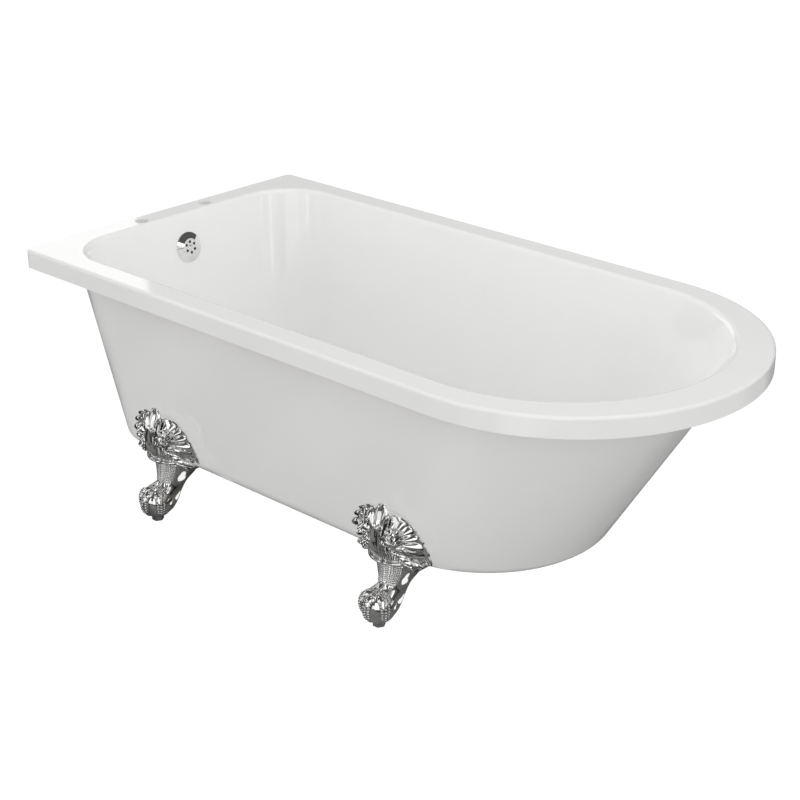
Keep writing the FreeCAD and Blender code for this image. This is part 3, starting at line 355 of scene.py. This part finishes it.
# Leg: height, middle (outward), half width and half depth of its sections, which are squared off
LEG = (
    (12, 51, 14, 15), (22, 46, 21, 24), (40, 41, 25, 32), (52, 36, 26, 33),
    (64, 25, 25, 31), (75, 13, 24, 32), (86, 2, 27, 37), (98, -4, 33, 40),
    (110, -5, 38, 39), (122, -5, 40, 39), (132, 0, 38, 37), (140, 8, 36, 32),
)
LEG_POWER = 3.4
LEG_HEIGHTS, LEG_MIDDLES, LEG_WIDTHS, LEG_DEPTHS = through(LEG, 200).T


def leg_point(height, turn, proud):
    """A point on the leg's front, turned sideways from straight out, standing a little proud."""
    middle = np.interp(height, LEG_HEIGHTS, LEG_MIDDLES)
    wide = np.interp(height, LEG_HEIGHTS, LEG_WIDTHS) + proud
    deep = np.interp(height, LEG_HEIGHTS, LEG_DEPTHS) + proud
    across = math.copysign(abs(math.sin(turn)) ** (2 / LEG_POWER), turn)
    ahead = math.cos(turn) ** (2 / LEG_POWER)
    return np.array([wide * across, middle + deep * ahead, height])


def leg():
    """The cabriole leg, flat where it lies on the skirt."""
    outline = ring(40, LEG_POWER)
    rows = []
    for height, middle, wide, deep in through(LEG, 90):
        row = at_height(outline * (wide, deep) + (0, middle), height)
        if height > BASE_EDGE:
            row[:, 1] = np.maximum(row[:, 1], wall_at(height) + SKIRT_GAP)
        rows.append(row)
    return skin(rows)


# Ball under the claw, with the height at which it is cut flat
BALL = np.array([0.0, 57.0, 40.5])
BALL_RADIUS = 33.5
BALL_FLAT = 10


def ball():
    """The ball under the claw, flat underneath."""
    low = math.asin((BALL_FLAT - BALL[2]) / BALL_RADIUS)
    return sphere(BALL, BALL_RADIUS, np.linspace(low, math.radians(85), 26), 40)


# Toe, from the instep to the talon's point: angle up from level, distance from the ball's middle and radius
TOE = (
    (100, 22, 7), (72, 25.5, 9.5), (46, 29, 11.2), (26, 29.5, 10.8), (9, 29.5, 10.4),
    (-8, 29.5, 9.4), (-24, 30, 7.2), (-40, 31.5, 4.6), (-54, 32.5, 1.6),
)
TOE_SWINGS = (-64, 0, 64)
# Beads of a toe: radius, how deep they sit in it, and their angles round it and along it
TOE_BEAD = 2.7
TOE_BEAD_SUNK = 0.8
TOE_BEAD_LEANS = (-44, 0, 44)
TOE_BEAD_ANGLES = np.linspace(34, -20, 7)


def toe(swing):
    """A toe bent over the ball: knuckle, beaded joints and talon."""
    ahead = turned(OUTWARD, SIDEWAYS, swing)
    side = np.cross(ahead, UPWARD)
    angles, reaches, radii = through(TOE, 44).T
    path = BALL + reaches[:, None] * turned(ahead, UPWARD, angles[:, None])
    pieces = [sweep(path, ROUND, radii, radii, side)]
    for angle in TOE_BEAD_ANGLES:
        reach = np.interp(-angle, -angles, reaches)
        radius = np.interp(-angle, -angles, radii)
        out = turned(ahead, UPWARD, angle)
        for lean in TOE_BEAD_LEANS:
            spot = BALL + reach * out + (radius - TOE_BEAD_SUNK) * turned(out, side, lean)
            pieces.append(bead(spot, TOE_BEAD))
    return pieces


# Tendons: where they start across the shin, and how far out and up from the ball's middle the knuckles lie
TENDON_STARTS = (-14, 0, 14)
KNUCKLE_OUT = 25.41
KNUCKLE_UP = 21.12


def tendons():
    """Ridges that run from the end of the shin panel to the toes and part in a Y."""
    pieces = []
    for start, swing in zip(TENDON_STARTS, TOE_SWINGS):
        knuckle = BALL + KNUCKLE_OUT * turned(OUTWARD, SIDEWAYS, swing) + KNUCKLE_UP * UPWARD
        back = 0.3 * abs(start)
        root = (start, 35 - back, 84)
        instep = (1.1 * start, 44 - back, 72)
        arch = (knuckle[0], knuckle[1] - 9, 69)
        path = bezier((root, instep, arch, knuckle), 16)
        pieces.append(tube(path, np.linspace(2.0, 4.4, len(path))))
    return pieces


# Shin panel: ends, half turn round the leg, depth of its hatching, grid steps of one cushion, and its frame
PANEL_LOW = 82
PANEL_HIGH = 122
PANEL_TURN = 43
HATCH_DEPTH = 0.7
HATCH_STEPS = 5
FRAME_PROUD = 0.6


def shin_panel():
    """Hatched panel on the shin with a narrow frame."""
    heights = np.linspace(PANEL_LOW, PANEL_HIGH, 56)
    turns = np.radians(np.linspace(-PANEL_TURN, PANEL_TURN, 61))
    rows = []
    for i, height in enumerate(heights):
        row = []
        for j, turn in enumerate(turns):
            wave = math.sin(math.pi * i / HATCH_STEPS) * math.sin(math.pi * j / HATCH_STEPS)
            row.append(leg_point(height, turn, HATCH_DEPTH * (1 + math.sqrt(abs(wave)))))
        rows.append(row)
    pieces = [skin(rows, wrap=False, capped=False)]
    for edge in (turns[0], turns[-1]):
        pieces.append(tube([leg_point(height, edge, FRAME_PROUD) for height in heights], 1.5))
    for height in (heights[0], heights[-1]):
        pieces.append(tube([leg_point(height, turn, FRAME_PROUD) for turn in turns], 1.6))
    return pieces


# Collar: half width, middle (outward) and half depth where it is widest
COLLAR_WIDE = 50
COLLAR_MIDDLE = 13.5
COLLAR_DEEP = 41.5


def lap(height, grow, reach, count):
    """An arc round the front of the collar, grown by a length, which reaches some degrees to each side."""
    turns = np.radians(np.linspace(-reach, reach, count))
    across = (COLLAR_WIDE + grow) * np.sin(turns)
    out = COLLAR_MIDDLE + (COLLAR_DEEP + grow) * np.cos(turns)
    return at_height(np.column_stack([across, out]), height)


def collar():
    """Band, mouldings and flutes that stand out round the top of the shin."""
    profile = ((122, -21), (126, -9), (131, -2), (136, 0), (142, -2), (157, -3), (164, -6))
    pieces = [skin([lap(height, grow, 100, 48) for height, grow in profile], wrap=False, capped=False)]
    # Height, growth, reach and radius of the mouldings, then the flutes between them
    for height, grow, reach, radius in ((135, 0, 100, 3.8), (141.5, -0.5, 100, 1.6), (157, -1.5, 96, 2.2)):
        pieces.append(tube(lap(height, grow, reach, 48), radius))
    for low, high in zip(lap(143, -1.5, 88, 31), lap(156, -2.5, 88, 31)):
        pieces.append(tube(np.linspace(low, high, 4), (1.3, 1.7, 1.7, 1.3)))
    return pieces


# Knee: height, how far out its middle stands, and half spread of the leaf over it
KNEE = (
    (130, 42, 52), (150, 47, 78), (159, 54, 88), (170, 56, 95), (186, 55, 93),
    (203, 51.5, 82), (220, 47, 62), (236, 42, 40), (250, 38, 18),
)
KNEE_HEIGHTS, KNEE_FRONTS, KNEE_SPREADS = np.transpose(KNEE)
KNEE_POWER = 2.3
# The bulge itself ends below the leaf's crown, fills part of its spread and lies a little under it
BULGE_TOP = 229
BULGE_SPREAD = 0.72
BULGE_SUNK = 1.0
BULGE_EDGE = 1.2


def on_knee(x, height, proud):
    """Points that stand a little proud of the knee."""
    x, height = np.broadcast_arrays(np.asarray(x, float), np.asarray(height, float))
    fall = np.clip(np.abs(x) / np.interp(height, KNEE_HEIGHTS, KNEE_SPREADS), 0, 1) ** KNEE_POWER
    wall = wall_at(height)
    out = wall + (np.interp(height, KNEE_HEIGHTS, KNEE_FRONTS) - wall) * (1 - fall)
    return np.stack([x, out + proud, height], axis=-1)


def knee():
    """The bulge at the top of the leg, which lies against the skirt."""
    rows = []
    for height in np.linspace(KNEE_HEIGHTS[0], BULGE_TOP, 40):
        half = BULGE_SPREAD * np.interp(height, KNEE_HEIGHTS, KNEE_SPREADS)
        across = half * np.sin(np.linspace(-0.5, 0.5, 41) * math.pi)
        front = on_knee(across, height, -BULGE_SUNK)
        front[:, 1] = np.maximum(front[:, 1], wall_at(height) + BULGE_EDGE)
        back = front[::-1] * (1, 0, 1) + (0, wall_at(height) + SKIRT_GAP, 0)
        rows.append(np.vstack([front, back]))
    return skin(rows)


# Just over 1, so that a leaf's width ends a little above nothing at its tip
BLUNT = 1.001


def frond(path, width, thick, section, facing):
    """A leaf lobe along a path, widest past its middle and rounded at its tip."""
    share = np.linspace(0, 1, len(path))
    wide = width * np.sqrt(BLUNT - share) * (0.6 + 1.3 * share)
    high = thick * np.sqrt(BLUNT - share ** 4)
    return sweep(path, section, wide, high, facing)


# Middle of the shell, and the lobe tips of the wing round it: bearing up from sideways, reach from the
# shell's middle, and how far the tip stands off the skirt
SHELL_X = 34
SHELL_HEIGHT = 188
LOBES = (
    (-56, 62, 6), (-36, 76, 7), (-14, 66, 12), (12, 52, 13), (42, 46, 12), (76, 45, 11), (112, 45, 11),
)
# Degrees that the wing runs past its lowest and its last tip, and the degrees of a whole lobe there
LOW_END = 7
LAST_END = 12
LOW_LOBE = 16
LAST_LOBE = 26
# Where the flutes start, the sheet's swell, thickness and least height, and the depth of the flutes
WING_ROOT = 4
WING_SWELL = 2.5
WING_THICK = 3.5
WING_LEAST = 3
FLUTE_DEPTH = 6.5
# Share of the reach that the notches cut back, height of the tips' curl, and where along a lobe it starts
NOTCH = 0.16
CURL = 4
CURL_START = 0.75


def wing():
    """One half of the leaf: flutes that spread from the shell to lobes with curled tips."""
    bearings, reaches, edges = np.transpose(LOBES)
    lowest, last = bearings[0], bearings[-1]
    share = np.linspace(0, 1, 36)
    swell = np.sin(math.pi * share ** 0.8)
    curled = np.clip((share - CURL_START) / (1 - CURL_START), 0, 1) ** 2
    rows = []
    for bearing in np.linspace(lowest - LOW_END, last + LAST_END, 181):
        place = np.interp(bearing, bearings, range(len(LOBES)))
        beyond = min(bearing - lowest, 0) / LOW_LOBE + max(bearing - last, 0) / LAST_LOBE
        lobe = abs(math.cos(math.pi * (place + beyond)))
        tip = np.interp(bearing, bearings, reaches) * (1 - NOTCH + NOTCH * lobe ** 0.7)
        reach = WING_ROOT + share * (tip - WING_ROOT)
        x = SHELL_X + reach * math.cos(math.radians(bearing))
        z = SHELL_HEIGHT + reach * math.sin(math.radians(bearing))
        wall = wall_at(z)
        root = on_knee(x, z, 0)[:, 1] - wall
        sheet = root + (np.interp(bearing, bearings, edges) - root) * share ** 3
        proud = sheet + WING_SWELL * swell + FLUTE_DEPTH * swell * (lobe - 0.5) + CURL * lobe ** 2 * curled
        front = np.column_stack([x, wall + np.maximum(proud, WING_LEAST), z])
        back = np.column_stack([x, wall + np.maximum(proud - WING_THICK, SKIRT_GAP), z])
        rows.append(np.vstack([front, back[::-1]]))
    return [skin(rows)]


def shell():
    """Fan of petals on the flank of the knee, inside an arched moulding."""
    hinge = np.array([SHELL_X, SHELL_HEIGHT - 5])
    aside = (0.45, 1, 0.1)
    pieces = [bead(on_knee(*hinge, proud=6), radius=4.6)]
    for angle in range(-12, 193, 34):
        away = np.array([math.cos(math.radians(angle)), math.sin(math.radians(angle))])
        spots = hinge + np.linspace(2, 25, 18)[:, None] * away
        arch = 3 + 5 * np.sin(np.linspace(0, math.pi, len(spots)))
        pieces.append(frond(on_knee(*spots.T, arch), width=6.8, thick=4.6, section=RIDGED, facing=aside))
    turns = np.radians(np.linspace(50, 208, 48))
    arc = hinge + 27 * np.column_stack([np.cos(turns), np.sin(turns)])
    moulding = on_knee(*arc.T, proud=4)
    radii = 1.8 * np.sqrt(np.sin(np.linspace(0.25, math.pi - 0.25, len(turns))))
    return pieces + [tube(moulding, radii)]


def lower_leaf():
    """Scroll leaves with beads below a wing."""
    aside = (0.6, 1, 0)
    # Root, bend and tip, half width, thickness and section
    leaves = (
        (((40, 44, 150), (66, 46, 154), (80, 20, 134)), 7, 5, RIDGED),
        (((40, 40, 143), (58, 42, 144), (67, 18, 124)), 6, 5, RIDGED),
        (((30, 50, 160), (52, 54, 164), (66, 36, 150)), 6.5, 4, FLUTED),
    )
    pieces = [frond(bezier(bend, 22), width, thick, section, aside) for bend, width, thick, section in leaves]
    first_bead = np.array([46, 44, 146])
    bead_run = np.array([26, -22, -14])
    for share in np.linspace(0.1, 0.95, 6):
        pieces.append(bead(first_bead + share * bead_run, radius=2.6))
    return pieces


def centre_leaf():
    """Stem up the middle of the knee, which opens into a crown leaf with a tip that curls forward."""
    stem = ((56, 156), (57.5, 172), (57, 190), (54.5, 206), (50, 222))
    crown = ((45.5, 236), (43.5, 246), (47, 251), (53, 250), (57, 244))
    path = np.insert(through(stem + crown, 60), 0, 0, axis=1)
    share = np.linspace(0, 1, len(path))
    wide = (5.5 + 12 * np.exp(-((share - 0.53) / 0.15) ** 2)) * np.sqrt(BLUNT - share ** 4)
    high = 5.5 * np.sqrt(BLUNT - share ** 9)
    facing = np.cross(np.gradient(path, axis=0), SIDEWAYS)
    pieces = [sweep(path, FLUTED, wide, high, facing)]
    # Root, bend and tip of the side leaves, sideways and up
    for bend in (((9, 158), (11, 200), (20, 234)), ((17, 158), (4, 190), (9, 214))):
        spots = bezier(bend, 26)
        rise = 3 + 8 * np.linspace(0, 1, len(spots)) ** 3
        leaf = frond(on_knee(*spots.T, rise), width=7.5, thick=6.5, section=RIDGED, facing=(0.3, 1, 0.1))
        pieces += [leaf, mirrored(leaf)]
    return pieces


def palmette():
    """Small petals that stand round the top of the collar."""
    pieces = []
    for lean in range(-70, 71, 20):
        out = turned(OUTWARD, SIDEWAYS, lean)
        root = out * (46, 38.5, 0) + (0, COLLAR_MIDDLE, 156)
        path = bezier((root, root + 9 * UPWARD + 7 * out, root + 17 * UPWARD + 1.5 * out), 18)
        pieces.append(frond(path, width=5.4, thick=3.2, section=RIDGED, facing=out))
    return pieces


def tongue():
    """Flat lug with eased edges under the base, which the bolts hold."""
    outline = ring(36, 6) * (44, 38) + (0, -30)
    levels = ((103.2, 0.97), (104, 1), (110.2, 1), (110.9, 0.97))
    return [skin([at_height(outline * scale, height) for height, scale in levels])]


def claw_foot():
    """The whole casting as one mesh, outward along -Y."""
    side = wing() + shell() + lower_leaf()
    pieces = [leg(), knee(), ball()]
    for swing in TOE_SWINGS:
        pieces += toe(swing)
    pieces += tendons() + shin_panel() + collar() + centre_leaf() + palmette() + tongue()
    pieces += side + [mirrored(piece) for piece in side]
    facing_front = [(points * (1, -1, 1), faces) for points, faces in pieces]
    return mesh_from("claw_foot_casting", facing_front, MATERIALS["chrome"])


def foot_place(foot):
    """Middle of a foot along the bath, and its side: -1 in front, 1 at the back."""
    low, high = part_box("claw_foot_" + foot)
    return (low[0] + high[0]) / 2, -1 if foot.startswith("front") else 1


# Feet: one casting in four places along the base edges of the skirt, which lie this far from the middle
BASE_HALF = 253.5
casting = claw_foot()
cast_feet = bpy.data.collections.new("cast_feet")
for foot in FEET:
    middle_x, side = foot_place(foot)
    piece = placed("cast_foot_" + foot, casting)
    piece.location = (middle_x, side * BASE_HALF * MM, 0)
    piece.rotation_euler = (0, 0, math.pi if side > 0 else 0)
    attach(piece, "bath")
    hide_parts("claw_foot_" + foot)
    piece.visible_diffuse = False
    cast_feet.objects.link(piece)


# Tap holes: thin white lining of each, so that the deck looks as thick as a reinforced rim
TAP_HOLE_X = -719
TAP_HOLE_Y = 90
# Radius and height round the lining's wall, which narrows downwards and stays clear of the skirt
TAP_LINING = ((14.8, 543.5), (14.8, 539), (12.8, 531), (12.3, 531), (14.2, 539), (14.2, 543.5))


def tap_lining(name, middle_y):
    """A thin cup without a bottom inside a tap hole."""
    middle = (TAP_HOLE_X, middle_y)
    rows = [at_height(ring(48) * radius + middle, height) for radius, height in TAP_LINING]
    return mesh_from(name, [skin(rows + rows[:1], capped=False)], MATERIALS["acrylic"])


for name, middle_y in (("tap_lining_front", -TAP_HOLE_Y), ("tap_lining_back", TAP_HOLE_Y)):
    lining = placed(name, tap_lining(name, middle_y))
    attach(lining, "bath")


# Plug spring: a coil in the place of the solid one
SPRING_WIRE = 1.2
SPRING_TURNS = 5
coil_low, coil_high = (np.array(corner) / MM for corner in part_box("plug_spring"))


def plug_coil():
    """Wire wound round the plug's axis from the foot of the solid spring to its head."""
    turn = np.linspace(0, SPRING_TURNS * 2 * math.pi, SPRING_TURNS * 24 + 1)
    rise = np.linspace(coil_low[2] + SPRING_WIRE / 2, coil_high[2] - SPRING_WIRE / 2, len(turn))
    middle = (coil_low + coil_high) / 2
    radius = (coil_high[1] - coil_low[1] - SPRING_WIRE) / 2
    path = np.column_stack([middle[0] + radius * np.cos(turn), middle[1] + radius * np.sin(turn), rise])
    return mesh_from("plug_coil", [tube(path, SPRING_WIRE / 2)], MATERIALS["steel"])


coil = placed("plug_coil", plug_coil())
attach(coil, "bath")
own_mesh(coil)
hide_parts("plug_spring")


# Studio: white to the eye, a sky that dims upwards for the light, a dim room and floor in the reflections
WHITE = (1, 1, 1, 1)
TO_THE_EYE = 1.05
HORIZON = 0.95
ZENITH = 0.60
ROOM = 0.09
FLOOR_HALF = 6.0
FLOOR_GREY = (0.58, 0.58, 0.58, 1)
FLOOR_BANDS = ((0.35, (0.03, 0.03, 0.03)), (0.8, (0.24, 0.24, 0.24)))


def choose(tree, ray_kind, chosen, other):
    """One shader for the rays of a kind and another for all others."""
    ray = add(tree, "ShaderNodeLightPath")
    mix = add(tree, "ShaderNodeMixShader")
    tree.links.new(ray.outputs[ray_kind], mix.inputs["Fac"])
    tree.links.new(other.outputs[0], mix.inputs[1])
    tree.links.new(chosen.outputs[0], mix.inputs[2])
    return mix


def background():
    """The white surroundings, the sky and the room."""
    world = bpy.data.worlds.new("studio")
    bpy.context.scene.world = world
    world.use_nodes = True
    tree = world.node_tree
    tree.nodes.clear()
    seen = add(tree, "ShaderNodeBackground", color=WHITE, strength=TO_THE_EYE)
    sky = add(tree, "ShaderNodeBackground", color=WHITE)
    room = add(tree, "ShaderNodeBackground", color=WHITE, strength=ROOM)
    way = add(tree, "ShaderNodeTexCoord")
    split = add(tree, "ShaderNodeSeparateXYZ")
    fade = add(tree, "ShaderNodeMapRange", to_min=HORIZON, to_max=ZENITH)
    tree.links.new(way.outputs["Generated"], split.inputs["Vector"])
    tree.links.new(split.outputs["Z"], fade.inputs["Value"])
    tree.links.new(fade.outputs["Result"], sky.inputs["Strength"])
    whole = choose(tree, "Is Camera Ray", seen, choose(tree, "Is Glossy Ray", room, sky))
    out = add(tree, "ShaderNodeOutputWorld")
    tree.links.new(whole.outputs["Shader"], out.inputs["Surface"])


def floor():
    """Plain floor: white to the eye, a pale diffuser for the light, banded and dim in reflections."""
    mesh = bpy.data.meshes.new("floor")
    corners = [(x * FLOOR_HALF, y * FLOOR_HALF, 0) for x, y in ((-1, -1), (1, -1), (1, 1), (-1, 1))]
    mesh.from_pydata(corners, [], [(0, 1, 2, 3)])
    made = bpy.data.materials.new("floor_white")
    made.use_nodes = True
    tree = made.node_tree
    tree.nodes.clear()
    seen = add(tree, "ShaderNodeEmission", color=WHITE, strength=TO_THE_EYE)
    pale = add(tree, "ShaderNodeBsdfDiffuse", color=FLOOR_GREY)
    dim = add(tree, "ShaderNodeBsdfDiffuse")
    bands = add(tree, "ShaderNodeTexWave", scale=0.55, distortion=2.0, detail=1.0)
    tree.links.new(object_space(tree), bands.inputs["Vector"])
    tree.links.new(shades(tree, bands.outputs["Fac"], FLOOR_BANDS), dim.inputs["Color"])
    whole = choose(tree, "Is Camera Ray", seen, choose(tree, "Is Glossy Ray", dim, pale))
    out = add(tree, "ShaderNodeOutputMaterial")
    tree.links.new(whole.outputs["Shader"], out.inputs["Surface"])
    mesh.materials.append(made)
    plane = placed("floor", mesh)


def softbox(name, place, target, size, radiance, lights=True, shape="RECTANGLE", seen_by=None):
    """A flat light at a place that faces a target; one that doesn't light is only seen in reflections."""
    width, height = size
    light = bpy.data.lights.new(name, "AREA")
    light.shape = shape
    light.size = width
    light.size_y = height
    light.energy = radiance * math.pi * width * height
    lamp = placed(name, light)
    lamp.location = place
    lamp.rotation_euler = (Vector(target) - Vector(place)).to_track_quat("-Z", "Y").to_euler()
    lamp.visible_camera = False
    lamp.visible_diffuse = lights
    if seen_by is not None:
        lamp.light_linking.receiver_collection = seen_by


def floor_panel(name, spot, size, radiance, shape="RECTANGLE", seen_by=None):
    """A panel that lies just above the floor, faces up and is only seen in reflections."""
    softbox(name, (*spot, 0.01), (*spot, 1), size, radiance, lights=False, shape=shape, seen_by=seen_by)


def windows():
    """The soft lights round the bath: name, place, target, width and height, brightness."""
    for setting in (
        ("left_window", (-5.57, 1.57, 2.2), (-0.6, -0.22, 0.545), (3.5, 2.6), 1.4),
        ("overhead", (0.2, 0.2, 3.6), (0, 0, 0.3), (3.0, 2.2), 0.8),
        ("right_window", (3.9, -0.6, 1.7), (0.2, 0, 0.5), (2.4, 1.6), 0.6),
        ("high_window", (2.5, -1.75, 2.6), (0.3, 0, 0.5), (2.0, 2.0), 0.45),
        ("front_window", (0.1, -4.3, 1.1), (0, 0, 0.35), (2.6, 1.5), 0.85),
    ):
        softbox(*setting)


def panels():
    """Panels that are only mirrored: in front by the whole bath, and behind it by the feet."""
    for label, side, seen_by in (("front", 1, None), ("back", -1, cast_feet)):
        about = np.array([side, side, 1])
        softbox("eye_panel_" + label, about * (2.3, -3.7, 1.9), about * (0.2, -0.3, 0.3), (2.6, 3.4), 1.25,
                lights=False, seen_by=seen_by)
        softbox("low_panel_" + label, about * (-2.05, -2.72, 0.45), about * (0.1, -0.3, 0.3), (2.0, 0.8), 0.7,
                lights=False, seen_by=seen_by)
        floor_panel("floor_panel_" + label, (side * 1.35, side * -2.1), (1.6, 1.6), 0.85, seen_by=seen_by)


def foot_panels():
    """Small panels on the floor by each foot, mirrored in its calf and in the tips of its leaf."""
    for foot in FEET:
        middle_x, side = foot_place(foot)
        under_calf = (middle_x - side * 0.045, side * 0.222)
        beside_leaf = (middle_x + side * 0.17, side * 0.46)
        floor_panel("calf_panel_" + foot, under_calf, (0.05, 0.05), 0.75, shape="ELLIPSE")
        floor_panel("leaf_panel_" + foot, beside_leaf, (0.2, 0.16), 0.6, shape="ELLIPSE", seen_by=cast_feet)


def strips():
    """Upright strips round the bath that are only mirrored: bearing, brightness and what mirrors them."""
    distance = 3.6
    for bearing, radiance, seen_by in ((-100, 1.5, None), (-5, 2.0, None), (20, 2.0, None),
                                       (205, 2.0, cast_feet), (238, 2.0, cast_feet)):
        turn = math.radians(bearing)
        place = (distance * math.cos(turn), distance * math.sin(turn), 1.5)
        softbox("strip_%d" % bearing, place, (0, 0, 0.3), (0.4, 1.8), radiance, lights=False, seen_by=seen_by)


def camera():
    """A long lens that looks down on the front and the rounded end."""
    lens = bpy.data.cameras.new("camera")
    lens.sensor_width = 36
    lens.lens = 80.01
    lens.shift_x = -0.03
    lens.shift_y = 0.0185
    viewer = placed("camera", lens)
    viewer.location = (2.2165, -2.3923, 1.7169)
    viewer.rotation_euler = (math.radians(66.105), 0, math.radians(42.492))
    bpy.context.scene.camera = viewer


background()
floor()
windows()
panels()
foot_panels()
strips()
camera()
bpy.context.scene.view_settings.view_transform = "Standard"
